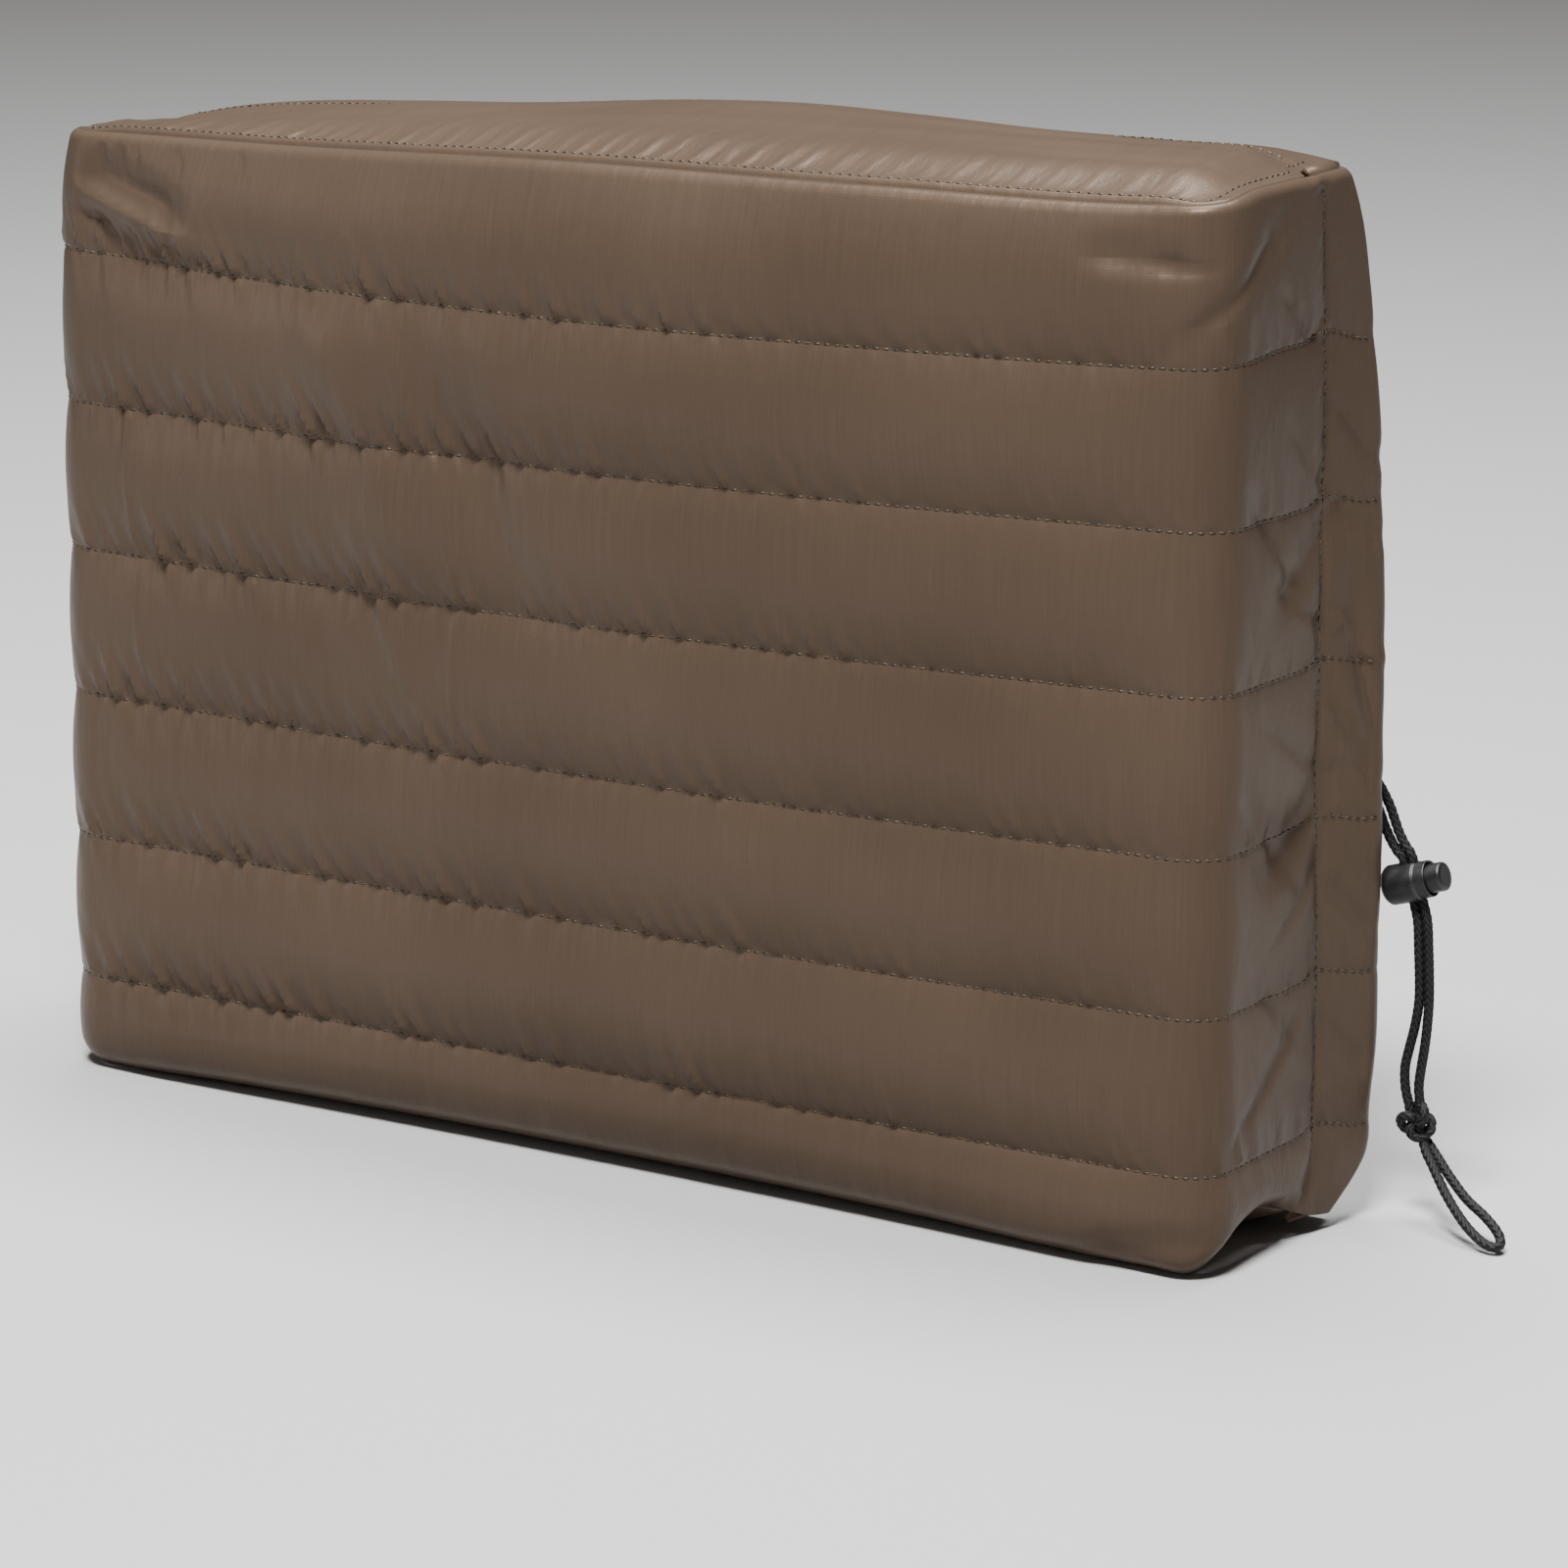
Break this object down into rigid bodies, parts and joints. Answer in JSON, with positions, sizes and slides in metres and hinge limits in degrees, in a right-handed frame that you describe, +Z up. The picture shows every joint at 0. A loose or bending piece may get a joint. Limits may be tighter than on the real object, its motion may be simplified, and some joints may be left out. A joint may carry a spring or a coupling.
{
  "type": "air conditioner cover",
  "caption": "Fitted quilted cloth cover for the indoor side of a window air conditioner, open at the back, with a drawstring hem, knotted cord and spring cord lock.",
  "frame": {"origin": "middle of the underside of the top panel, where the cover rests on the top of the air conditioner", "axes": "+Z up, -Y out of the front of the cover, +Y out of its open back, +X to the right as seen from the front"},
  "size_m": [0.5193, 0.1225, 0.3439],
  "materials": {
    "quilted_cloth": "satin, quilted in level channels",
    "black_braid": "braided",
    "black_plastic": "satin"
  },
  "bodies": {
    "cover": {"front_and_side_panel": "quilted_cloth", "top_panel": "quilted_cloth", "bottom_panel": "quilted_cloth", "drawstring_strand_1": "black_braid", "drawstring_strand_2": "black_braid", "drawstring_knot": "black_braid", "drawstring_loop": "black_braid", "cord_lock_barrel": "black_plastic"},
    "lock_button": {"cord_lock_button": "black_plastic"}
  },
  "joints": [
    {"name": "lock_button_slide", "type": "slide", "parent": "cover", "child": "lock_button", "axis": [-0.9563, 0, -0.2924], "range_m": [0, 0.0026], "stiffness_N_per_m": 300, "springref_m": -0.002}
  ]
}
